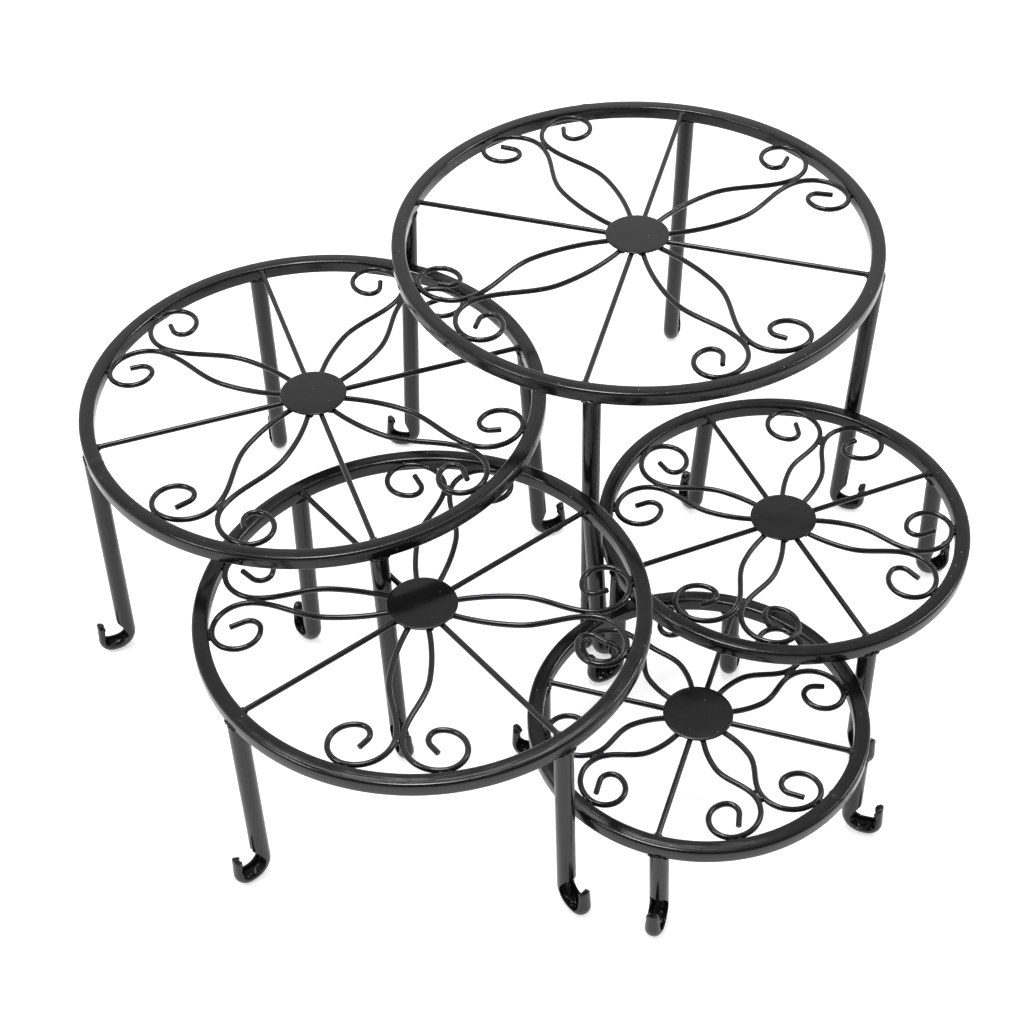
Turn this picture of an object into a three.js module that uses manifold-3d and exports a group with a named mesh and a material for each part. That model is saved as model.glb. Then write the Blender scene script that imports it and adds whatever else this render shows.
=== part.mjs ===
// A set of five round metal plant stands that graduate in size and step down in height.
// Each stand is a ring of square bar on four tube legs. A flat disc in the middle carries
// four spokes and four petals of bent wire, and every petal ends in two scrolls at the ring.
// Millimetres, +Z up, the floor at z = 0, and the middle of the set's footprint at the origin.

import * as THREE from 'three';
import { mergeVertices } from 'three/addons/utils/BufferGeometryUtils.js';
import Module from 'manifold-3d';

const wasm = await Module();
wasm.setup();

// ---- The set ----
const largestDiameter = 340; // outside diameter of the tallest stand's ring
const tallestHeight = 225; // from the floor to the top of that ring

// ---- The five stands, tallest first ----
// across, place, widestAt, petalHalf, flare and scroll are shares of the largest diameter, and
// high is a share of the tallest height. place puts a stand on the floor. rods, petals and legs
// are the directions of its two rods, four petals and four legs, in degrees, a little uneven as
// they are in hand welded work. feet, in millimetres, is how far each foot stands off the top of
// its leg. A petal is widest, petalHalf off its own centre line, widestAt from the middle. Past
// the point where its wires meet they bend apart with the radius flare, touch the ring, and turn
// back from it with the radius scroll.
const stands = [
  { name: 'stand1', across: 1, high: 1, place: [0.2337, 0.3613],
    rods: [-17.5, 74.5], petals: [28.5, 118, 209.5, 298.5], legs: [-14.5, 73.5, 165, 256.5],
    feet: [[-7, 1.5], [-4, 1], [-8, -3], [0, -4]],
    widestAt: 0.2135, petalHalf: 0.0515, flare: 0.0718, scroll: 0.0427 },
  { name: 'stand2', across: 0.9118, high: 0.8089, place: [-0.4163, 0.0372],
    rods: [18.5, 108], petals: [61.5, 154, 243, 332.5], legs: [19, 109, 199, 288.4],
    feet: [[9, -2], [0, 4], [-1, -5], [4, -7]],
    widestAt: 0.1809, petalHalf: 0.0415, flare: 0.0706, scroll: 0.0424 },
  { name: 'stand3', across: 0.8353, high: 0.6622, place: [-0.1999, -0.4428],
    rods: [38, 127.5], petals: [82, 175.5, 263.5, 354.5], legs: [37.5, 127.5, 217.5, 307.5],
    feet: [[8, 4], [-2, -2], [2, -5], [2, -7]],
    widestAt: 0.1738, petalHalf: 0.0356, flare: 0.0659, scroll: 0.0438 },
  { name: 'stand4', across: 0.7353, high: 0.4489, place: [0.5057, -0.0966],
    rods: [22, 111], petals: [65.5, 156, 245, 338], legs: [21.5, 110.5, 200, 290.5],
    feet: [[2, -2], [-5, 0], [-2, -8], [0, -4]],
    widestAt: 0.1421, petalHalf: 0.0329, flare: 0.0653, scroll: 0.0443 },
  { name: 'stand5', across: 0.6353, high: 0.3333, place: [0.3034, -0.5339],
    rods: [-18.5, 71], petals: [29, 116, 204.5, 296], legs: [-17.5, 72.5, 162.5, 252.5],
    feet: [[0, -3], [1, -2], [0, -2], [2, -1]],
    widestAt: 0.1206, petalHalf: 0.0356, flare: 0.0609, scroll: 0.0374 },
];

// ---- Sizes that the stands share ----
const barSize = 10; // side of the ring's square bar
const barCorner = 1.4; // corner that is rolled off the bar
const legDiameter = 12;
const legWall = 1.2;
const wireDiameter = 3.7; // spokes and petals
const wireBelowTop = 0.6; // top of the wires under the top of the ring
const discDiameter = 44.6;
const discThickness = 1.2;
const weldGap = 0.3; // left between a round or cut piece and the piece that it is welded to

// ---- Petals: two mirrored wires that meet, then flare into scrolls ----
const petalStartRadius = 13; // the wires begin under the disc
const petalStartHalf = 4.5;
const curlRadius = 7.2; // the inner end of a scroll
const curlTurn = 114; // degrees
const scrollTip = 8; // straight end of the wire
const beadLength = 10; // weld where the two wires meet
const beadWidth = 5.8;
const beadHeight = 3.4;

// ---- Feet: the outer half of the tube is cut away and the inner half bent out and up ----
const mouthHeight = 24; // the tube is whole above this
const slitLength = 15; // V-shaped slit above the mouth, on the outer side
const slitWidth = 2;
const heelRadius = 14; // outside radius of the first bend
const soleLength = 3; // flat stretch on the floor
const toeRadius = 9; // outside radius of the second bend
const toeTurn = 84; // degrees
const toeLength = 16.5; // from the end of that bend to the tip
const tipWidth = 7.4;
const tipThickness = 5.8;
const tipRounding = 0.6; // size of the very end against the tip just before it
const toeTaper = [0.3, 0.75]; // how far the half tube has narrowed to the tip round the second bend
const lobeWidth = 0.75; // width of the swelling inside the toe against the toe itself

// ---- How finely round shapes are faceted ----
const ringFacet = 24; // length of one side of the ring's polygon
const legHalfFacets = 5; // odd, so that a flat facet lies on the floor
const wireSides = 5;
const discSides = 28;
const bellySteps = [0, 0.45, 1]; // stations of a petal's wire, up to its widest point
const neckSteps = [0.35, 0.65, 1]; // and from there to where the wires meet
const flareSteps = 5;
const scrollSteps = 6;
const curlSteps = 3;

const black = new THREE.Color('#1a1a1b');

function glossPaint(roughness) {
  return new THREE.MeshStandardMaterial({ color: black, roughness, metalness: 0 });
}

const rad = THREE.MathUtils.degToRad;

// ---- Solids from meshes, to join and cut ----
function toSolid(geometry) {
  const bare = geometry.clone();
  bare.deleteAttribute('normal');
  bare.deleteAttribute('uv');
  const merged = mergeVertices(bare, 1e-4);
  return new wasm.Manifold(new wasm.Mesh({
    numProp: 3,
    vertProperties: new Float32Array(merged.attributes.position.array),
    triVerts: new Uint32Array(merged.index.array),
  }));
}

function toGeometry(solid) {
  const mesh = solid.getMesh();
  const geometry = new THREE.BufferGeometry();
  geometry.setAttribute('position', new THREE.BufferAttribute(mesh.vertProperties, 3));
  geometry.setIndex(new THREE.BufferAttribute(mesh.triVerts, 1));
  geometry.computeVertexNormals();
  return geometry;
}

function join(geometries) {
  return toGeometry(geometries.map(toSolid).reduce((whole, next) => whole.add(next)));
}

// ---- Ring: square bar rolled to a circle ----
function ringGeometry(diameter) {
  const sides = Math.round((Math.PI * diameter) / ringFacet);
  const outer = diameter / 2;
  const inner = (outer - barSize) / Math.cos(Math.PI / sides); // its flats clear the full bore
  const c = Math.min(barCorner, barSize / 3);
  const profile = [
    [inner + c, 0], [outer - c, 0], [outer, c], [outer, barSize - c],
    [outer - c, barSize], [inner + c, barSize], [inner, barSize - c], [inner, c], [inner + c, 0],
  ].map(([r, z]) => new THREE.Vector2(r, z));
  return new THREE.LatheGeometry(profile, sides).rotateX(Math.PI / 2);
}

// ---- Centre disc ----
function discGeometry() {
  return new THREE.CylinderGeometry(discDiameter / 2, discDiameter / 2, discThickness, discSides)
    .rotateX(Math.PI / 2);
}

// ---- Spokes: two rods that cross and are welded together under the disc ----
function spokesGeometry(boreRadius, directions) {
  const length = 2 * (boreRadius - weldGap);
  const radius = wireDiameter / 2;
  return join(directions.map((direction) => new THREE.CylinderGeometry(radius, radius, length, 6)
    .rotateZ(rad(direction) - Math.PI / 2)));
}

// ---- A wire's path: places and directions worked out one after another ----
class WirePath extends THREE.Curve {
  constructor() {
    super();
    this.stations = [];
  }

  add(x, y, heading) {
    this.stations.push({ x, y, heading });
  }

  arc(radius, turn, steps) {
    for (let i = 0; i < steps; i++) {
      const { x, y, heading } = this.stations.at(-1);
      const next = heading + turn / steps;
      this.add(x + radius * (Math.sin(next) - Math.sin(heading)),
        y - radius * (Math.cos(next) - Math.cos(heading)), next);
    }
  }

  straight(length) {
    const { x, y, heading } = this.stations.at(-1);
    this.add(x + length * Math.cos(heading), y + length * Math.sin(heading), heading);
  }

  get steps() {
    return this.stations.length - 1;
  }

  at(t) {
    return this.stations[Math.round(t * this.steps)];
  }

  getPointAt(t) {
    return new THREE.Vector3(this.at(t).x, this.at(t).y, 0);
  }

  getTangentAt(t) {
    return new THREE.Vector3(Math.cos(this.at(t).heading), Math.sin(this.at(t).heading), 0);
  }
}

// Where a petal's two wires meet, so that their flares just reach the ring
function meetingPoint(boreRadius, flareRadius) {
  const half = wireDiameter / 2 + weldGap / 2;
  const reach = boreRadius - weldGap - wireDiameter / 2 - flareRadius;
  return { at: Math.sqrt(reach ** 2 - (half + flareRadius) ** 2), half };
}

function petalWirePath(stand, boreRadius, side) {
  const flareRadius = stand.flare * largestDiameter;
  const { at: meetAt, half } = meetingPoint(boreRadius, flareRadius);
  const wideAt = stand.widestAt * largestDiameter;
  const wide = stand.petalHalf * largestDiameter;
  const path = new WirePath();
  const rise = (wide - petalStartHalf) / (wideAt - petalStartRadius) ** 2;
  for (const t of bellySteps) {
    const back = (1 - t) * (wideAt - petalStartRadius);
    path.add(wideAt - back, wide - rise * back ** 2, Math.atan(2 * rise * back));
  }
  const fall = meetAt - wideAt;
  for (const t of neckSteps) {
    path.add(wideAt + t * fall, half + ((wide - half) * (1 + Math.cos(Math.PI * t))) / 2,
      Math.atan((-(wide - half) * Math.PI * Math.sin(Math.PI * t)) / (2 * fall)));
  }
  const toRing = Math.PI / 2 + Math.atan2(half + flareRadius, meetAt);
  path.arc(flareRadius, toRing, flareSteps);
  path.arc(stand.scroll * largestDiameter, Math.PI, scrollSteps);
  path.arc(curlRadius, rad(curlTurn), curlSteps);
  path.straight(scrollTip);
  for (const station of path.stations) {
    station.y *= side;
    station.heading *= side;
  }
  return path;
}

function wireGeometry(path) {
  const section = new THREE.Shape();
  for (let i = 0; i < wireSides; i++) {
    const angle = (2 * Math.PI * i) / wireSides;
    const x = (wireDiameter / 2) * Math.cos(angle);
    const y = (wireDiameter / 2) * Math.sin(angle);
    if (i === 0) section.moveTo(x, y);
    else section.lineTo(x, y);
  }
  section.closePath();
  return new THREE.ExtrudeGeometry(section,
    { steps: path.steps, extrudePath: path, bevelEnabled: false, curveSegments: 1 });
}

// A petal along +X: both wires and the weld between them
function petalGeometry(stand, boreRadius) {
  const wires = [1, -1].map((side) => wireGeometry(petalWirePath(stand, boreRadius, side)));
  const bead = new THREE.IcosahedronGeometry(1, 0);
  bead.scale(beadLength / 2, beadWidth / 2, beadHeight / 2);
  bead.translate(meetingPoint(boreRadius, stand.flare * largestDiameter).at, 0, 0);
  return join([...wires, bead]);
}

// ---- Leg: +X points away from the middle of the stand ----
const tubeRadius = legDiameter / 2;
const boreOfTube = tubeRadius - legWall;
const halfFacet = Math.PI / (2 * legHalfFacets);

// Stations of the bent half tube, from the mouth to the tip. x and z lie on the outer skin and
// turn is how far it has bent. half is the half width, depth the depth of the outer skin under
// the rim, and hollow the depth of the channel, which fills up and swells towards the tip.
function footStations() {
  const stations = [];
  const skin = tubeRadius * Math.cos(halfFacet);
  let x = -skin;
  let z = mouthHeight;
  let turn = 0;
  const add = (half, depth, hollow) => stations.push({ x, z, turn, half, depth, hollow });
  const bend = (radius, by) => {
    x += radius * (Math.cos(turn) - Math.cos(turn + by));
    z -= radius * (Math.sin(turn + by) - Math.sin(turn));
    turn += by;
  };
  const ahead = (length) => {
    x += length * Math.sin(turn);
    z -= length * Math.cos(turn);
  };
  add(tubeRadius, tubeRadius, boreOfTube);
  ahead(mouthHeight - heelRadius);
  add(tubeRadius, tubeRadius, boreOfTube);
  for (let i = 0; i < 3; i++) {
    bend(heelRadius, Math.PI / 6);
    add(tubeRadius, tubeRadius, boreOfTube);
  }
  ahead(soleLength);
  add(tubeRadius, tubeRadius, boreOfTube);
  const halfTip = tipWidth / 2;
  const tipDepth = tipThickness / 2;
  for (const t of toeTaper) {
    bend(toeRadius, rad(toeTurn) / toeTaper.length);
    add(THREE.MathUtils.lerp(tubeRadius, halfTip, t), THREE.MathUtils.lerp(tubeRadius, tipDepth, t),
      THREE.MathUtils.lerp(boreOfTube, -tipDepth, t));
  }
  ahead(toeLength - tipDepth / 2);
  add(halfTip, tipDepth, -tipDepth);
  ahead(tipDepth / 2);
  add(halfTip * tipRounding, tipDepth * tipRounding, -tipDepth * tipRounding);
  return stations;
}

function legGeometry(length) {
  const positions = [];
  const index = [];
  const point = (x, y, z) => positions.push(x, y, z) / 3 - 1;
  const quad = (a, b, c, d) => index.push(a, b, c, a, c, d);
  const facets = 2 * legHalfFacets;
  const circle = (radius, z) => Array.from({ length: facets }, (_, i) => {
    const angle = Math.PI / 2 + 2 * halfFacet * i;
    return point(radius * Math.cos(angle), radius * Math.sin(angle), z);
  });
  const top = { skin: circle(tubeRadius, length), bore: circle(boreOfTube, length) };
  const mouth = { skin: circle(tubeRadius, mouthHeight), bore: circle(boreOfTube, mouthHeight) };
  for (let i = 0; i < facets; i++) {
    const j = (i + 1) % facets;
    quad(mouth.skin[i], mouth.skin[j], top.skin[j], top.skin[i]);
    quad(mouth.bore[j], mouth.bore[i], top.bore[i], top.bore[j]);
    quad(top.skin[i], top.skin[j], top.bore[j], top.bore[i]);
    if (i >= legHalfFacets) quad(mouth.skin[j], mouth.skin[i], mouth.bore[i], mouth.bore[j]);
  }
  let last = {
    skin: mouth.skin.slice(0, legHalfFacets + 1),
    bore: mouth.bore.slice(0, legHalfFacets + 1),
  };
  for (const s of footStations().slice(1)) {
    const flat = s.depth * Math.cos(halfFacet);
    const curve = (half, depth) => last.skin.map((_, i) => {
      const angle = 2 * halfFacet * i - Math.PI / 2;
      const inward = flat - depth * Math.cos(angle);
      return point(s.x + inward * Math.cos(s.turn), -half * Math.sin(angle),
        s.z + inward * Math.sin(s.turn));
    });
    const inside = s.hollow > 0 ? s.half - legWall : s.half * lobeWidth;
    const next = { skin: curve(s.half, s.depth), bore: curve(inside, s.hollow) };
    for (let i = 0; i < legHalfFacets; i++) {
      quad(next.skin[i], next.skin[i + 1], last.skin[i + 1], last.skin[i]);
      quad(next.bore[i + 1], next.bore[i], last.bore[i], last.bore[i + 1]);
    }
    quad(next.bore[0], next.skin[0], last.skin[0], last.bore[0]);
    quad(next.skin[legHalfFacets], next.bore[legHalfFacets],
      last.bore[legHalfFacets], last.skin[legHalfFacets]);
    last = next;
  }
  for (let i = 0; i < legHalfFacets; i++) {
    quad(last.skin[i + 1], last.skin[i], last.bore[i], last.bore[i + 1]);
  }
  const geometry = new THREE.BufferGeometry();
  geometry.setAttribute('position', new THREE.Float32BufferAttribute(positions, 3));
  geometry.setIndex(index);
  return toGeometry(toSolid(geometry).subtract(toSolid(slitGeometry())));
}

// The wedge that is cut from the outer side of the tube, above the mouth
function slitGeometry() {
  const overcut = 1;
  const wedge = new THREE.Shape([
    new THREE.Vector2(-slitWidth / 2, mouthHeight - overcut),
    new THREE.Vector2(slitWidth / 2, mouthHeight - overcut),
    new THREE.Vector2(0, mouthHeight + slitLength),
  ]);
  const cut = new THREE.ExtrudeGeometry(wedge, { depth: legWall + 2 * overcut, bevelEnabled: false });
  cut.rotateX(Math.PI / 2).rotateZ(Math.PI / 2);
  return cut.translate(boreOfTube - overcut, 0, 0);
}

// The foot moves by lean while the top of the leg stays square under the ring
function leanLeg(geometry, length, lean) {
  const p = geometry.attributes.position;
  for (let i = 0; i < p.count; i++) {
    const down = 1 - p.getZ(i) / length;
    p.setXY(i, p.getX(i) + lean.x * down, p.getY(i) + lean.y * down);
  }
  geometry.computeVertexNormals();
  return geometry;
}

// ---- One stand ----
function addPiece(parent, name, geometry, roughness) {
  const mesh = new THREE.Mesh(geometry, glossPaint(roughness));
  mesh.name = name;
  parent.add(mesh);
  return mesh;
}

function buildStand(stand) {
  const group = new THREE.Group();
  const diameter = stand.across * largestDiameter;
  const height = stand.high * tallestHeight;
  const boreRadius = diameter / 2 - barSize;
  const legLength = height - barSize;
  const wireLevel = height - wireBelowTop - wireDiameter / 2;

  addPiece(group, `${stand.name}_ring`, ringGeometry(diameter), 0.2).position.z = legLength;

  const web = new THREE.Group();
  web.position.z = wireLevel;
  group.add(web);
  const disc = addPiece(web, `${stand.name}_centre_disc`, discGeometry(), 0.25);
  disc.position.z = wireDiameter / 2 + weldGap + discThickness / 2;
  addPiece(web, `${stand.name}_spokes`, spokesGeometry(boreRadius, stand.rods), 0.22);
  stand.petals.forEach((direction, i) => {
    const petal = addPiece(web, `${stand.name}_petal_${i + 1}`, petalGeometry(stand, boreRadius), 0.22);
    petal.rotation.z = rad(direction);
  });

  const seat = diameter / 2 - barSize / 2;
  stand.legs.forEach((direction, i) => {
    const angle = rad(direction);
    const lean = new THREE.Vector2(...stand.feet[i]).rotateAround(new THREE.Vector2(), -angle);
    const leg = addPiece(group, `${stand.name}_leg_${i + 1}`,
      leanLeg(legGeometry(legLength), legLength, lean), 0.22);
    leg.position.set(seat * Math.cos(angle), seat * Math.sin(angle), 0);
    leg.rotation.z = angle;
  });
  group.position.set(...stand.place.map((share) => share * largestDiameter), 0);
  return group;
}

const group = new THREE.Group();
for (const stand of stands) group.add(buildStand(stand));
group.updateMatrixWorld(true);
const middle = new THREE.Box3().setFromObject(group, true).getCenter(new THREE.Vector3());
group.position.set(-middle.x, -middle.y, 0);

export default group;
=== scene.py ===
"""A set of five gloss black plant stands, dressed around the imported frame. Metres, +Z up."""
import math
import random

import bpy
from mathutils import Matrix, Vector, noise


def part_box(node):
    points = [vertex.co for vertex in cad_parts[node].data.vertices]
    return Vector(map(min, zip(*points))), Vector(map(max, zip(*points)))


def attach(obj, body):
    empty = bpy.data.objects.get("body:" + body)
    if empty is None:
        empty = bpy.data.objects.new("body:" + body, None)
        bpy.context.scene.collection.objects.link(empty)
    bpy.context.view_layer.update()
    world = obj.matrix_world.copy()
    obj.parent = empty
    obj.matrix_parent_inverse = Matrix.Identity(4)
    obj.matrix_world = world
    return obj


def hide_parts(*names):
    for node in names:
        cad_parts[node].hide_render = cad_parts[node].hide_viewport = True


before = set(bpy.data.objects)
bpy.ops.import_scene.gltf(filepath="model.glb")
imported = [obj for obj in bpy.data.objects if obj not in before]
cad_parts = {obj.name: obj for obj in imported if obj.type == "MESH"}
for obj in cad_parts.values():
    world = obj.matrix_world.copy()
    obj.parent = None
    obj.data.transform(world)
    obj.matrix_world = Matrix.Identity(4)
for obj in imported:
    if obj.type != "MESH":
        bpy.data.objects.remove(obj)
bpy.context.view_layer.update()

MM = 0.001
TAU = 2 * math.pi

# ---- The five stands, tallest first: millimetres and degrees, as in the solids ----
# diameter and height of the ring; directions of the two rods, the petals and the legs; how far
# each foot stands off the top of its leg; where a petal is widest, its half width there and the
# radii of its flare and its scroll; and where the ring's butt weld lies.
STANDS = [
    ("stand1", 340, 225, (-17.5, 74.5), (28.5, 118, 209.5, 298.5), (-14.5, 73.5, 165, 256.5),
     ((-7, 1.5), (-4, 1), (-8, -3), (0, -4)), (72.6, 17.5, 24.4, 14.5), 100),
    ("stand2", 310, 182, (18.5, 108), (61.5, 154, 243, 332.5), (19, 109, 199, 288.4),
     ((9, -2), (0, 4), (-1, -5), (4, -7)), (61.5, 14.1, 24.0, 14.4), 205),
    ("stand3", 284, 149, (38, 127.5), (82, 175.5, 263.5, 354.5), (37.5, 127.5, 217.5, 307.5),
     ((8, 4), (-2, -2), (2, -5), (2, -7)), (59.1, 12.1, 22.4, 14.9), -20),
    ("stand4", 250, 101, (22, 111), (65.5, 156, 245, 338), (21.5, 110.5, 200, 290.5),
     ((2, -2), (-5, 0), (-2, -8), (0, -4)), (48.3, 11.2, 22.2, 15.1), 118),
    ("stand5", 216, 75, (-18.5, 71), (29, 116, 204.5, 296), (-17.5, 72.5, 162.5, 252.5),
     ((0, -3), (1, -2), (0, -2), (2, -1)), (41.0, 12.1, 20.7, 12.7), -40),
]

# ---- Sizes that the stands share, in millimetres ----
BAR = 10
BAR_CORNER = 1.9
LEG_RADIUS = 6.0
LEG_WALL = 1.2
WIRE = 1.85  # radius
WIRE_BELOW_TOP = 0.6  # the wires lie this much under the ring's top
DISC_RADIUS = 22.2
DISC_THICKNESS = 1.2
DISC_CROWN = 0.14
WELD_GAP = 0.3  # between pieces that weld joins
PETAL_START = (13, 4.5)  # along the petal and half its width, under the disc
CURL = 7.2  # radius of the last bend at the end of a petal's wire
CURL_TURN = 114  # degrees
CURL_TURN_SPREAD = 9  # the wires are bent by hand
TIP = 8  # straight end of the wire
TIP_SPREAD = 2
SEAM_WIDTH, SEAM_RISE = 1.6, 0.3  # the ring's butt weld, ground down
MOUTH = 24  # the leg's tube is whole above this
SLIT = (15, 2)  # length and width
HEEL, SOLE, TOE = 15, 2, 9.5  # radius of the heel, flat under the foot and radius of the toe
TOE_TURN = 93  # degrees
TOE_LENGTH = 14.5
TIP_WIDTH, TIP_THICKNESS = 8.2, 5.8
CRUMPLE = 1.5  # how deep the channel of the foot is buckled by the bending
FOLD_DEPTH, FOLD_ANGLE = 1.5, 0.35  # the fold between the toe's two lobes, in radians across
TOE_RIM = 0.25  # wall left at the sides of the toe
STREAK = 0.06  # width over length of the streaks in the bar's skin

random.seed(5)


# ---- Mesh helpers ----
def add_object(name, verts, faces, sharp=40):
    """A mesh object from points in millimetres, smooth but for edges over sharp degrees."""
    mesh = bpy.data.meshes.new(name)
    mesh.from_pydata([Vector(v) * MM for v in verts], [], faces)
    mesh.validate()
    mesh.shade_smooth()
    mesh.set_sharp_from_angle(angle=math.radians(sharp))
    obj = bpy.data.objects.new(name, mesh)
    bpy.context.collection.objects.link(obj)
    return obj


def finish_piece(obj, material, *nodes):
    """Paint and body of a piece, and the solids that it stands for, which it hides."""
    if nodes:
        obj.name = nodes[0] + "_painted"
    obj.data.materials.append(material)
    if nodes:
        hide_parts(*nodes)
    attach(obj, "root")
    return obj


class Shell:
    """Collects loops of points and the faces between them."""

    def __init__(self):
        self.verts = []
        self.faces = []

    def loop(self, points):
        first = len(self.verts)
        self.verts.extend(points)
        return list(range(first, len(self.verts)))

    def bridge(self, a, b, closed=True):
        n = len(a)
        for i in range(n if closed else n - 1):
            j = (i + 1) % n
            self.faces.append((a[i], a[j], b[j], b[i]))

    def cap(self, loop, flip=False):
        self.faces.append(tuple(reversed(loop)) if flip else tuple(loop))

    def lump(self, centre, axes, seed, rough, rings=10, segments=16):
        """A weld bead: a ball stretched along three axis vectors, with an uneven skin."""
        u, v, w = (Vector(a) for a in axes)
        loops = []
        for r in range(1, rings):
            polar = math.pi * r / rings
            points = []
            for s in range(segments):
                turn = TAU * s / segments
                d = Vector((math.sin(polar) * math.cos(turn), math.sin(polar) * math.sin(turn),
                            math.cos(polar)))
                swell = 1 + rough * noise.noise(d * 2.1 + Vector((seed * 3.7, seed, 0)))
                points.append(Vector(centre) + (u * d.x + v * d.y + w * d.z) * swell)
            loops.append(self.loop(points))
        top = self.loop([Vector(centre) + w])[0]
        bottom = self.loop([Vector(centre) - w])[0]
        handed = u.cross(v).dot(w) > 0
        for a, b in zip(loops, loops[1:]):
            self.bridge(b, a) if handed else self.bridge(a, b)
        for i in range(segments):
            j = (i + 1) % segments
            ends = [(top, loops[0][i], loops[0][j]), (bottom, loops[-1][j], loops[-1][i])]
            self.faces.extend(ends if handed else [tuple(reversed(f)) for f in ends])


def turned(x, y, angle):
    """A point of a plane, turned about its origin."""
    return x * math.cos(angle) - y * math.sin(angle), x * math.sin(angle) + y * math.cos(angle)


# ---- Ring: square bar rolled to a circle and closed with a butt weld ----
def bar_profile():
    """The bar's section as (across, up) from its middle, with rolled corners."""
    half = BAR / 2
    points = []
    steps = 5
    for k, (sx, sy) in enumerate([(1, 1), (-1, 1), (-1, -1), (1, -1)]):
        for i in range(steps + 1):
            a = math.radians(90 * k + 90 * i / steps)
            points.append((sx * (half - BAR_CORNER) + BAR_CORNER * math.cos(a),
                           sy * (half - BAR_CORNER) + BAR_CORNER * math.sin(a)))
    return points


def add_ring(name, centre, diameter, height, seam, material):
    """The bar's section carried round the circle, thicker at the seam."""
    shell = Shell()
    profile = bar_profile()
    middle = diameter / 2 - BAR / 2
    steps = 288
    loops = []
    drawn = []  # for the paint's streaks: slow along the bar and quick across it
    most_twist = 0.016  # radians, one way and the other along the rolled bar
    proud = 0.2  # the most that the seam stands up over the bar
    for i in range(steps):
        a = TAU * i / steps
        away = abs((a - math.radians(seam) + math.pi) % TAU - math.pi) * middle
        swell = math.exp(-(away / SEAM_WIDTH) ** 2) * SEAM_RISE
        spot = Vector((math.cos(a) * 2.2, math.sin(a) * 2.2, diameter))
        twist = most_twist * noise.noise(spot)
        points = []
        for across, up in profile:
            grow = 1 + swell / (BAR / 2)
            x, z = turned(across * grow, min(up * grow, BAR / 2 + proud), twist)
            r = middle + x
            points.append(centre + Vector((r * math.cos(a), r * math.sin(a), height - BAR / 2 + z)))
            drawn.append(Vector((r * math.cos(a) * STREAK, r * math.sin(a) * STREAK,
                                 across + 1.7 * up)) * MM)
        loops.append(shell.loop(points))
    for i in range(steps):
        shell.bridge(loops[(i + 1) % steps], loops[i])
    ring = add_object(name, shell.verts, shell.faces)
    along = ring.data.attributes.new("along_bar", "FLOAT_VECTOR", "POINT")
    for value, vector in zip(along.data, drawn):
        value.vector = vector
    return finish_piece(ring, material, name)


# ---- Centre disc: pressed plate with a rolled edge, crowned a little ----
def add_disc(name, centre, height, material):
    """Circles from the middle of the top over the edge to the underside."""
    shell = Shell()
    top = height - WIRE_BELOW_TOP + WELD_GAP + DISC_THICKNESS
    edge = DISC_THICKNESS / 2
    segments = 96
    edge_steps = 8
    rows = []
    for r in (0.12, 0.3, 0.5, 0.7, 0.85, 0.94):
        rows.append((r * (DISC_RADIUS - edge), top - DISC_CROWN * r ** 2))
    for i in range(edge_steps + 1):
        a = math.pi / 2 - math.pi * i / edge_steps
        rows.append((DISC_RADIUS - edge + edge * math.cos(a),
                     top - DISC_CROWN - edge + edge * math.sin(a)))
    for r in (0.8, 0.4):
        rows.append((r * (DISC_RADIUS - edge), top - DISC_CROWN - DISC_THICKNESS))
    loops = []
    for r, z in rows:
        loops.append(shell.loop([centre + Vector((r * math.cos(TAU * k / segments),
                                                  r * math.sin(TAU * k / segments), z))
                                 for k in range(segments)]))
    for a, b in zip(loops, loops[1:]):
        shell.bridge(b, a)
    shell.cap(loops[0])
    shell.cap(loops[-1], flip=True)
    return finish_piece(add_object(name, shell.verts, shell.faces), material, name)


# ---- Wires ----
def sweep_wire(shell, path, radius, sides=14, rounding=0.35):
    """A round wire along (point, direction) pairs in a level plane, cut square at its ends, which
    are rounded a little."""
    stations = [(path[0][0], path[0][1], radius - rounding)]
    stations += [(p - d * rounding if k == len(path) - 1 else p + d * rounding if k == 0 else p,
                  d, radius) for k, (p, d) in enumerate(path)]
    stations += [(path[-1][0], path[-1][1], radius - rounding)]
    loops = []
    for p, d, r in stations:
        side = Vector((-d.y, d.x, 0))
        loops.append(shell.loop([p + side * (r * math.cos(TAU * k / sides))
                                 + Vector((0, 0, r * math.sin(TAU * k / sides)))
                                 for k in range(sides)]))
    for a, b in zip(loops, loops[1:]):
        shell.bridge(b, a)
    shell.cap(loops[0])
    shell.cap(loops[-1], flip=True)


def meeting_point(bore, flare):
    """How far out a petal's two wires meet, and half the distance between them there."""
    half = WIRE + WELD_GAP / 2
    reach = bore - WELD_GAP - WIRE - flare
    return math.sqrt(reach ** 2 - (half + flare) ** 2), half


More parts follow.
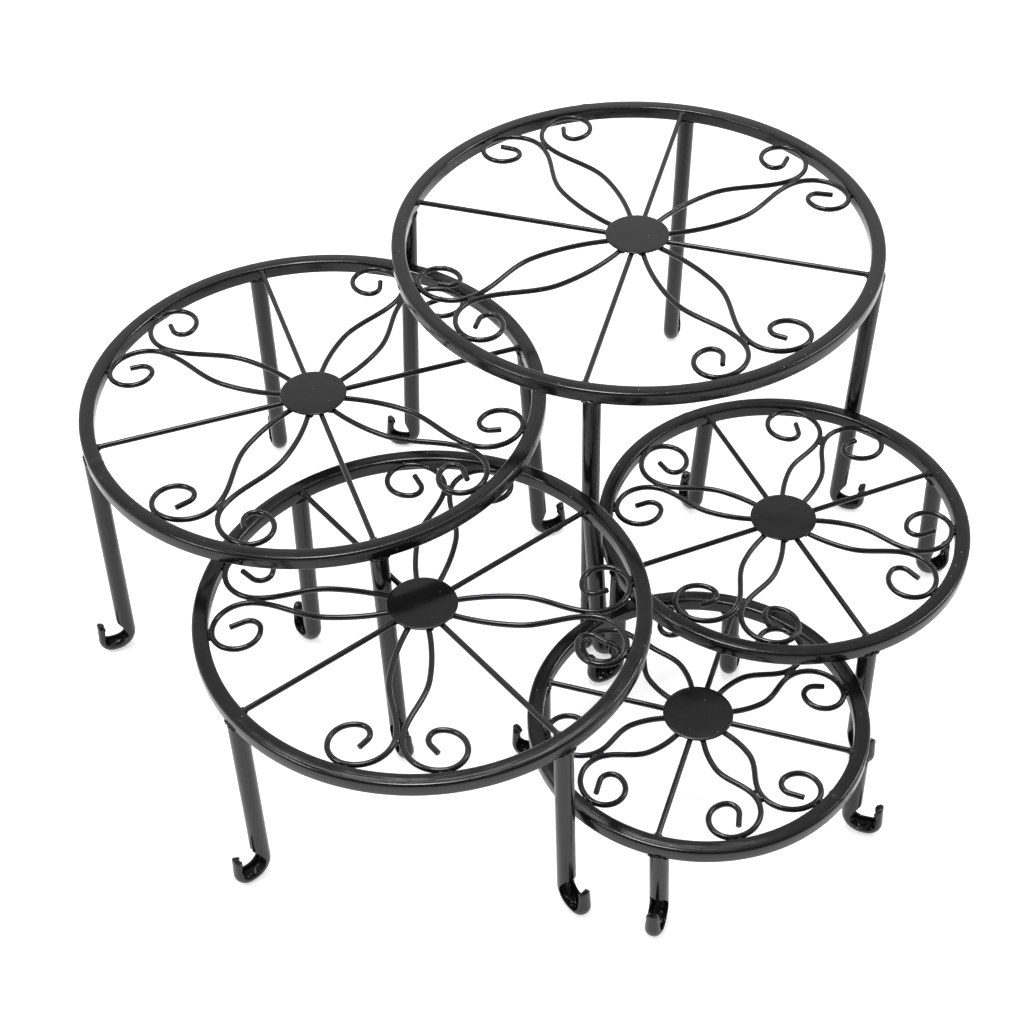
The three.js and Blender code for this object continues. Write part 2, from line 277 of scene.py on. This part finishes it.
def petal_path(bore, shape, side, curl_turn, tip):
    """(x, y, heading) along one wire of a petal that points along +X."""
    wide_at, wide, flare, scroll = shape
    meet, half = meeting_point(bore, flare)
    x0, y0 = PETAL_START
    rise = (wide - y0) / (wide_at - x0) ** 2
    path = []
    steps = 16
    for i in range(steps + 1):
        back = (1 - i / steps) * (wide_at - x0)
        path.append((wide_at - back, wide - rise * back ** 2, math.atan(2 * rise * back)))
    fall = meet - wide_at
    for i in range(1, steps + 1):
        t = i / steps
        path.append((wide_at + t * fall, half + (wide - half) * (1 + math.cos(math.pi * t)) / 2,
                     math.atan(-(wide - half) * math.pi * math.sin(math.pi * t) / (2 * fall))))
    to_ring = math.pi / 2 + math.atan2(half + flare, meet)
    for radius, turn, steps in ((flare, to_ring, 22), (scroll, math.pi, 30),
                                (CURL, math.radians(curl_turn), 20)):
        for _ in range(steps):
            x, y, h = path[-1]
            after = h + turn / steps
            path.append((x + radius * (math.sin(after) - math.sin(h)),
                         y - radius * (math.cos(after) - math.cos(h)), after))
    x, y, h = path[-1]
    path.append((x + tip * math.cos(h), y + tip * math.sin(h), h))
    return [(x, side * y, side * h) for x, y, h in path]


def add_petal(name, centre, level, bore, shape, angle, material):
    """The two wires of a petal and the weld that joins them."""
    shell = Shell()
    for side in (1, -1):
        path = []
        curl = CURL_TURN + random.uniform(-CURL_TURN_SPREAD, CURL_TURN_SPREAD)
        tip = TIP + random.uniform(-TIP_SPREAD, TIP_SPREAD)
        for x, y, h in petal_path(bore, shape, side, curl, tip):
            px, py = turned(x, y, angle)
            path.append((centre + Vector((px, py, level)),
                         Vector((math.cos(h + angle), math.sin(h + angle), 0))))
        sweep_wire(shell, path, WIRE)
    _, _, flare, _ = shape
    meet, _ = meeting_point(bore, flare)
    along = Vector((math.cos(angle), math.sin(angle), 0))
    across = Vector((-along.y, along.x, 0))
    spot = centre + along * meet + Vector((0, 0, level))
    shell.lump(spot, (along * 4.9, across * 2.6, Vector((0, 0, 1.5))), len(name) + angle, 0.3)
    return finish_piece(add_object(name, shell.verts, shell.faces), material, name)


def add_spokes(name, centre, level, bore, rods, material):
    """Two rods that cross under the disc. The second is in two pieces that meet the first."""
    shell = Shell()
    end = bore - 0.1  # just off the ring, inside the weld
    base = centre + Vector((0, 0, level))
    first, second = [Vector((math.cos(a), math.sin(a), 0)) for a in rods]
    sweep_wire(shell, [(base - first * end, first), (base + first * end, first)], WIRE)
    for d in (second, -second):
        sweep_wire(shell, [(base + d * WIRE, d), (base + d * end, d)], WIRE)
    return finish_piece(add_object(name, shell.verts, shell.faces), material, name)


# ---- Welds ----
def add_top_welds(name, centre, level, bore, rods, petals, flare, material):
    """Beads where the rods and the scrolls meet the ring, and under the disc."""
    shell = Shell()
    up = Vector((0, 0, 1))
    meet, half = meeting_point(bore, flare)
    contact = math.atan2(half + flare, meet)  # from a petal's middle to where it meets the ring
    under_disc = DISC_RADIUS - 5
    base = centre + Vector((0, 0, level))

    def bead(angle, radius, size, seed, shift=0, drop=0.3):
        """A bead of half size out, along and up, at a direction and radius from the middle."""
        d = Vector((math.cos(angle), math.sin(angle), 0))
        t = Vector((-d.y, d.x, 0))
        shell.lump(base + d * radius + t * shift - up * drop,
                   (d * size[0], t * size[1], up * size[2]), seed, 0.35)

    for a in [rod + turn for rod in rods for turn in (0, math.pi)]:
        bead(a, bore - 0.6, (2.2, 2.7, 2.1), a + 1)
        bead(a, under_disc, (3, 2.4, 1.6), a + 2, drop=0.1)
    for c in petals:
        for side in (1, -1):
            for shift in (-2.6, 2.4):
                bead(c + side * contact, bore - 0.7, (1.3, 2.2, 1.5), c + shift + side, shift, 0.4)
            bead(c, under_disc, (2.6, 2.2, 1.6), c + 5 * side, side * 7.4, 0.1)
    return finish_piece(add_object(name, shell.verts, shell.faces), material)


def add_leg_welds(name, centre, height, diameter, legs, material):
    """Beads round the top of each leg, up both sides of the ring."""
    shell = Shell()
    up = Vector((0, 0, 1))
    under = height - BAR
    seat = diameter / 2 - BAR / 2
    for a in legs:
        d = Vector((math.cos(a), math.sin(a), 0))
        t = Vector((-d.y, d.x, 0))
        base = centre + d * seat + up * under
        seed = a * 5 + diameter
        for out in (1, -1):
            r = out * (BAR / 2 - 0.2)
            for shift, wide, tall in ((-2.9, 3.0, 1.3), (0.4, 3.2, 1.7), (3.3, 2.7, 1.2)):
                shell.lump(base + d * (r - out * abs(shift) * 0.12) + t * shift + up * 0.5,
                           (d * 1.5, t * wide, up * tall), seed + shift + out, 0.4)
        for side in (1, -1):
            shell.lump(base + t * side * (LEG_RADIUS - 0.2) - up * 0.3,
                       (d * 4.2, t * 1.3, up * 1.1), seed + side * 7, 0.4)
    return finish_piece(add_object(name, shell.verts, shell.faces), material)


# ---- Legs ----
def foot_stations():
    """Stations of the bent half tube from the heel to the tip: place on the outer skin, turn,
    half width, depth of the skin under the rim, and depth of the channel, which fills up and
    swells into two lobes towards the tip."""
    out = []
    x, z, turn = -LEG_RADIUS, HEEL, 0.0
    hollow = LEG_RADIUS - LEG_WALL
    taper_at_bend = 0.55  # how much of the taper the end of the toe's bend has reached

    def bend(radius, by):
        nonlocal x, z, turn
        x += radius * (math.cos(turn) - math.cos(turn + by))
        z -= radius * (math.sin(turn + by) - math.sin(turn))
        turn += by

    def add(t):
        e = t * t * (3 - 2 * t)
        width = LEG_RADIUS + (TIP_WIDTH / 2 - LEG_RADIUS) * e
        depth = LEG_RADIUS + (TIP_THICKNESS / 2 - LEG_RADIUS) * e
        inner = hollow + (-TIP_THICKNESS / 2 - hollow) * e
        out.append((x, z, turn, width, depth, inner))

    add(0)
    steps = 20
    for _ in range(steps):
        bend(HEEL, math.pi / 2 / steps)
        add(0)
    x += SOLE
    add(0)
    steps = 12
    for i in range(1, steps + 1):
        bend(TOE, math.radians(TOE_TURN) / steps)
        add(taper_at_bend * i / steps)
    steps = 8
    length = TOE_LENGTH - TIP_THICKNESS / 2
    for i in range(1, steps + 1):
        x += length / steps * math.sin(turn)
        z -= length / steps * math.cos(turn)
        add(taper_at_bend + (1 - taper_at_bend) * i / steps)
    _, _, _, width, depth, inner = out[-1]
    steps = 5
    for i in range(1, steps + 1):  # the rounded end, which stops short of a point
        a = math.pi / 2 * i / (steps + 0.4)
        ahead = TIP_THICKNESS / 2 * math.sin(a)
        scale = math.cos(a)
        out.append((x + ahead * math.sin(turn), z - ahead * math.cos(turn), turn,
                    width * (0.25 + 0.75 * scale), depth * scale, inner * scale))
    return out


def add_leg(name, centre, height, diameter, yaw, lean, material):
    """A tube from the ring down, slit and opened at its mouth, whose outer half runs on as the
    foot. It faces out at yaw, and its lower end stands off its top by lean."""
    shell = Shell()
    length = height - BAR
    seat = diameter / 2 - BAR / 2
    n = 24  # facets of half the tube
    d = Vector((math.cos(yaw), math.sin(yaw), 0))
    t = Vector((-d.y, d.x, 0))

    def place(x, y, z):
        """A point out, sideways and up from the foot of the leg's axis, shifted by the lean."""
        down = 1 - z / length
        return centre + d * (seat + x) + t * y + Vector((lean[0] * down, lean[1] * down, z))

    def circle(radius, level):
        points = []
        for i in range(2 * n):
            a = math.pi / 2 + math.pi * i / n
            points.append(place(radius * math.cos(a), radius * math.sin(a), level(a)))
        return shell.loop(points)

    def top(_):
        return length

    def mouth(a):
        """The sawn edge: highest in front, sweeping down both sides to the heel."""
        if math.cos(a) <= 0:
            return HEEL
        aside = math.acos(math.cos(a)) / (math.pi / 2)
        sweep = 3.3
        return MOUTH - (MOUTH - HEEL) * aside ** sweep

    slit_length, slit_width = SLIT
    top_skin, top_bore = circle(LEG_RADIUS, top), circle(LEG_RADIUS - LEG_WALL, top)
    skin, bore = circle(LEG_RADIUS, mouth), circle(LEG_RADIUS - LEG_WALL, mouth)
    shell.bridge(skin, top_skin)
    shell.bridge(top_bore, bore)
    shell.bridge(top_skin, top_bore)
    for i in range(n, 2 * n):
        j = (i + 1) % (2 * n)
        shell.faces.append((skin[j], skin[i], bore[i], bore[j]))
    last_skin, last_bore = skin[:n + 1], bore[:n + 1]
    for x, z, turn, half, depth, hollow in foot_stations()[1:]:

        def curve(width, deep, fold):
            points = []
            for i in range(n + 1):
                a = math.pi * i / n - math.pi / 2
                inward = depth - deep * math.cos(a)
                if fold is not None:  # the inside: a fold towards the tip, crumpled all along
                    inward -= fold * math.exp(-(a / FOLD_ANGLE) ** 2)
                    inward += CRUMPLE * bent * math.cos(a) * noise.noise(
                        Vector((x * 0.45, width * math.sin(a) * 0.7, z * 0.45 + yaw * 9)))
                points.append(place(x + inward * math.cos(turn), -width * math.sin(a),
                                    z + inward * math.sin(turn)))
            return shell.loop(points)

        lobes = max(0.0, -hollow) / (TIP_THICKNESS / 2)
        bent = min(1.0, turn)
        inside = half - LEG_WALL + (LEG_WALL - TOE_RIM) * lobes
        next_skin = curve(half, depth, None)
        next_bore = curve(inside, hollow, FOLD_DEPTH * lobes)
        shell.bridge(next_skin, last_skin, closed=False)
        shell.bridge(last_bore, next_bore, closed=False)
        shell.faces.append((next_bore[0], next_skin[0], last_skin[0], last_bore[0]))
        shell.faces.append((next_skin[n], next_bore[n], last_bore[n], last_skin[n]))
        last_skin, last_bore = next_skin, next_bore
    for i in range(n):
        shell.faces.append((last_skin[i + 1], last_skin[i], last_bore[i], last_bore[i + 1]))
    sharp = 35
    leg = add_object(name, shell.verts, shell.faces, sharp)
    wedge = Shell()
    overcut = 1
    outline = [(-slit_width / 2, MOUTH - overcut), (slit_width / 2, MOUTH - overcut),
               (0, MOUTH + slit_length)]
    near = wedge.loop([place(LEG_RADIUS - LEG_WALL - overcut, y, z) for y, z in outline])
    far = wedge.loop([place(LEG_RADIUS + overcut, y, z) for y, z in outline])
    wedge.bridge(near, far)
    wedge.cap(near, flip=True)
    wedge.cap(far)
    cutter = add_object(name + "_slit", wedge.verts, wedge.faces)
    cut = leg.modifiers.new("slit", "BOOLEAN")
    cut.operation = "DIFFERENCE"
    cut.solver = "EXACT"
    cut.object = cutter
    depsgraph = bpy.context.evaluated_depsgraph_get()
    sawn = bpy.data.meshes.new_from_object(leg.evaluated_get(depsgraph))
    leg.modifiers.clear()
    leg.data = sawn
    sawn.shade_smooth()
    sawn.set_sharp_from_angle(angle=math.radians(sharp))
    bpy.data.objects.remove(cutter)
    return finish_piece(leg, material, name)


# ---- Materials ----
def linear(code):
    """sRGB hex to linear RGBA."""
    values = [int(code[i:i + 2], 16) / 255 for i in (1, 3, 5)]
    return tuple(v / 12.92 if v <= 0.04045 else ((v + 0.055) / 1.055) ** 2.4
                 for v in values) + (1.0,)


def add_node(tree, kind, settings=None, links=None, **attributes):
    """A node with its attributes, its sockets' values, and the sockets that feed it."""
    node = tree.nodes.new(kind)
    for key, value in attributes.items():
        setattr(node, key, value)
    for key, value in (settings or {}).items():
        node.inputs[key].default_value = value
    for key, source in (links or {}).items():
        tree.links.new(source, node.inputs[key])
    return node


ENAMEL_IOR = 1.46
DUST_COLOUR = "#b4b4b2"
PEEL_CELL = 0.002  # metres, as are the rest
RUN_SIZE, RUN_DEPTH = 0.015, 0.00012  # runs and thick spots in the paint
DUST_CELL, NIB_HEIGHT = 0.007, 0.00015
STREAK_WIDTH = 0.002


def enamel(name, base, roughness, peel, nibs, streaks=0):
    """Gloss black enamel, dipped or sprayed and stoved over mild steel: a deep black with clear
    reflections, softened by the fine orange peel of sprayed paint and dotted with dust nibs.
    The rolled bar also shows streaks along its length; streaks is their depth in metres, as
    peel is that of the orange peel. nibs is how light the dust shows."""
    material = bpy.data.materials.new(name)
    material.use_nodes = True
    tree = material.node_tree
    tree.nodes.clear()
    place = add_node(tree, "ShaderNodeTexCoord").outputs["Object"]
    cells = add_node(tree, "ShaderNodeTexNoise", {"Scale": 1 / PEEL_CELL, "Detail": 2.0},
                     {"Vector": place})
    runs = add_node(tree, "ShaderNodeTexNoise", {"Scale": 1 / RUN_SIZE, "Detail": 3.0},
                    {"Vector": place})
    # One nib in each cell, half a millimetre across
    dust = add_node(tree, "ShaderNodeTexVoronoi", {"Scale": 1 / DUST_CELL, "Randomness": 1.0},
                    {"Vector": place})
    nib = add_node(tree, "ShaderNodeMapRange", {"From Min": 0.06, "From Max": 0.025,
                                                "To Min": 0.0, "To Max": 1.0},
                   {"Value": dust.outputs["Distance"]})
    shade = add_node(tree, "ShaderNodeMix", {6: linear(base), 7: linear(DUST_COLOUR)},
                     data_type="RGBA")
    amount = add_node(tree, "ShaderNodeMath", {1: nibs}, {0: nib.outputs[0]},
                      operation="MULTIPLY")
    tree.links.new(amount.outputs[0], shade.inputs["Factor"])
    rough = add_node(tree, "ShaderNodeMapRange", {"From Min": 0.3, "From Max": 0.7,
                                                  "To Min": roughness * 0.7,
                                                  "To Max": roughness * 1.35},
                     {"Value": runs.outputs["Fac"]})
    wavy = add_node(tree, "ShaderNodeBump", {"Strength": 1.0, "Distance": RUN_DEPTH},
                    {"Height": runs.outputs["Fac"]})
    if streaks:
        along = add_node(tree, "ShaderNodeAttribute", attribute_name="along_bar")
        lines = add_node(tree, "ShaderNodeTexNoise", {"Scale": 1 / STREAK_WIDTH, "Detail": 1.0},
                         {"Vector": along.outputs["Vector"]})
        wavy = add_node(tree, "ShaderNodeBump", {"Strength": 1.0, "Distance": streaks},
                        {"Height": lines.outputs["Fac"], "Normal": wavy.outputs["Normal"]})
    peeled = add_node(tree, "ShaderNodeBump", {"Strength": 1.0, "Distance": peel},
                      {"Height": cells.outputs["Fac"], "Normal": wavy.outputs["Normal"]})
    speck = add_node(tree, "ShaderNodeBump", {"Strength": 0.6, "Distance": NIB_HEIGHT},
                     {"Height": nib.outputs[0], "Normal": peeled.outputs["Normal"]})
    paint = add_node(tree, "ShaderNodeBsdfPrincipled", {"IOR": ENAMEL_IOR, "Metallic": 0.0},
                     {"Base Color": shade.outputs[2], "Roughness": rough.outputs[0],
                      "Normal": speck.outputs["Normal"]})
    add_node(tree, "ShaderNodeOutputMaterial", None, {"Surface": paint.outputs[0]})
    return material


# Enamel on square steel bar: drawn streaks break up the reflections along the rings
enamel_bar = enamel("gloss_black_enamel_bar", "#0d0d0e", 0.15, 0.00002, 0.5, 0.00012)
# Enamel on welded steel tube: a little duller, so the legs show a soft grey band
enamel_tube = enamel("gloss_black_enamel_tube", "#0e0e0f", 0.2, 0.00003, 0.25)
# Enamel on round steel wire: thin bright lines along the scrolls
enamel_wire = enamel("gloss_black_enamel_wire", "#0c0c0d", 0.17, 0.00002, 0.15)
# Enamel on pressed steel plate: the smoothest, a dark mirror
enamel_plate = enamel("gloss_black_enamel_plate", "#0d0d0e", 0.14, 0.00001, 0.3)
# Enamel over weld metal: thick and lumpy, with small glints
enamel_weld = enamel("gloss_black_enamel_weld", "#0b0b0c", 0.16, 0.00006, 0.2)


# ---- Build ----
def radians(directions):
    """Directions in degrees, in radians."""
    return [math.radians(a) for a in directions]


for name, diameter, height, rods, petals, legs, feet, shape, seam in STANDS:
    lo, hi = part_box(name + "_spokes")
    middle = (lo + hi) / (2 * MM)
    centre = Vector((middle.x, middle.y, 0))
    bore = diameter / 2 - BAR
    level = height - WIRE_BELOW_TOP - WIRE
    rods, petals, legs = radians(rods), radians(petals), radians(legs)
    _, _, flare, _ = shape
    add_ring(name + "_ring", centre, diameter, height, seam, enamel_bar)
    add_disc(name + "_centre_disc", centre, height, enamel_plate)
    add_spokes(name + "_spokes", centre, level, bore, rods, enamel_wire)
    for k in range(4):
        add_petal(f"{name}_petal_{k + 1}", centre, level, bore, shape, petals[k], enamel_wire)
        add_leg(f"{name}_leg_{k + 1}", centre, height, diameter, legs[k], feet[k], enamel_tube)
    add_top_welds(name + "_wire_welds", centre, level, bore, rods, petals, flare, enamel_weld)
    add_leg_welds(name + "_leg_welds", centre, height, diameter, legs, enamel_weld)

# ---- Floor, light and camera ----
floor_mesh = bpy.data.meshes.new("floor")
reach = 12.0  # metres to each side
floor_mesh.from_pydata([(-reach, -reach, 0), (reach, -reach, 0), (reach, reach, 0),
                        (-reach, reach, 0)], [], [(0, 1, 2, 3)])
floor = bpy.data.objects.new("floor", floor_mesh)
bpy.context.collection.objects.link(floor)
sweep = bpy.data.materials.new("white_paper_sweep")
sweep.use_nodes = True
tree = sweep.node_tree
tree.nodes.clear()
path = add_node(tree, "ShaderNodeLightPath")
# White paper that keeps its shadows: the camera sees it lifted by a glow, and reflections in the
# paint see less of that
in_paint = add_node(tree, "ShaderNodeMath", {1: 0.4}, {0: path.outputs["Is Glossy Ray"]},
                    operation="MULTIPLY")
seen = add_node(tree, "ShaderNodeMath", None, {0: path.outputs["Is Camera Ray"],
                                               1: in_paint.outputs[0]}, operation="MAXIMUM")
paper = add_node(tree, "ShaderNodeBsdfDiffuse", {"Color": linear("#e6e6e6")})
glow = add_node(tree, "ShaderNodeEmission", {"Color": (1, 1, 1, 1)})
lift = add_node(tree, "ShaderNodeMath", {1: 0.5}, {0: seen.outputs[0]}, operation="MULTIPLY")
tree.links.new(lift.outputs[0], glow.inputs["Strength"])
both = add_node(tree, "ShaderNodeAddShader", None, {0: paper.outputs[0], 1: glow.outputs[0]})
add_node(tree, "ShaderNodeOutputMaterial", None, {"Surface": both.outputs[0]})
floor_mesh.materials.append(sweep)

world = bpy.data.worlds.new("studio")
bpy.context.scene.world = world
world.use_nodes = True
tree = world.node_tree
tree.nodes.clear()
# The camera sees white. Reflections see a white wall up to 36 degrees and a grey ceiling from
# 50 degrees, and the dim half of the room on the side of the camera.
path = add_node(tree, "ShaderNodeLightPath")
direction = add_node(tree, "ShaderNodeTexCoord").outputs["Generated"]
parts = add_node(tree, "ShaderNodeSeparateXYZ", None, {0: direction})
height_fade = add_node(tree, "ShaderNodeMapRange", {"From Min": 0.588, "From Max": 0.766,
                                                    "To Min": 1.0, "To Max": 0.5},
                       {"Value": parts.outputs["Z"]}, interpolation_type="SMOOTHSTEP")
side_fade = add_node(tree, "ShaderNodeMapRange", {"From Min": 0.05, "From Max": -0.45,
                                                  "To Min": 1.0, "To Max": 0.22},
                     {"Value": parts.outputs["Y"]}, interpolation_type="SMOOTHSTEP")
room = add_node(tree, "ShaderNodeMath", None, {0: height_fade.outputs[0],
                                               1: side_fade.outputs[0]}, operation="MULTIPLY")
ambient = add_node(tree, "ShaderNodeBackground", {"Color": (1, 1, 1, 1), "Strength": 0.8})
walls = add_node(tree, "ShaderNodeBackground", {"Color": (1, 1, 1, 1)},
                 {"Strength": room.outputs[0]})
backdrop = add_node(tree, "ShaderNodeBackground", {"Color": (1, 1, 1, 1), "Strength": 1.0})
mirrored = add_node(tree, "ShaderNodeMixShader", None,
                    {0: path.outputs["Is Glossy Ray"], 1: ambient.outputs[0],
                     2: walls.outputs[0]})
mixed = add_node(tree, "ShaderNodeMixShader", None,
                 {0: path.outputs["Is Camera Ray"], 1: mirrored.outputs[0],
                  2: backdrop.outputs[0]})
add_node(tree, "ShaderNodeOutputWorld", None, {"Surface": mixed.outputs[0]})


def add_lamp(name, place, target, size, power):
    """A softbox of a size in metres and a power in watts, turned to a target."""
    light = bpy.data.lights.new(name, "AREA")
    light.shape = "RECTANGLE"
    light.size, light.size_y = size
    light.energy = power
    lamp = bpy.data.objects.new(name, light)
    lamp.location = place
    lamp.rotation_euler = (Vector(target) - Vector(place)).to_track_quat("-Z", "Y").to_euler()
    bpy.context.collection.objects.link(lamp)


add_lamp("softbox_left", (-1.6, -0.6, 2.2), (0, 0, 0), (0.7, 0.3), 20)
add_lamp("softbox_right", (1.7, 0.6, 1.9), (0, 0, 0), (0.25, 0.9), 14)
add_lamp("softbox_above", (-0.2, 0.1, 2.4), (0, 0, 0), (0.8, 0.45), 26)
add_lamp("strip_behind", (-0.1, 0.75, 1.7), (0, -0.3, 0), (0.9, 0.12), 2.4)

# The camera was fitted to the outlines of the five rings in the photograph
eye = Vector((-0.01193, -0.99167, 1.0357))
pitch, roll = math.radians(43.93), math.radians(-1.32)
ahead = Vector((0, math.cos(pitch), -math.sin(pitch)))
level_up = Vector((0, math.sin(pitch), math.cos(pitch)))
right = Vector((math.cos(roll), 0, 0)) + level_up * math.sin(roll)
above = Vector((-math.sin(roll), 0, 0)) + level_up * math.cos(roll)
lens = bpy.data.cameras.new("camera")
lens.sensor_width = 36
lens.lens = 69.57
lens.shift_x, lens.shift_y = 0.0004, -0.0007
camera = bpy.data.objects.new("camera", lens)
camera.matrix_world = Matrix((
    (right.x, above.x, -ahead.x, eye.x),
    (right.y, above.y, -ahead.y, eye.y),
    (right.z, above.z, -ahead.z, eye.z),
    (0, 0, 0, 1)))
bpy.context.collection.objects.link(camera)
bpy.context.scene.camera = camera
bpy.context.scene.view_settings.view_transform = "Standard"
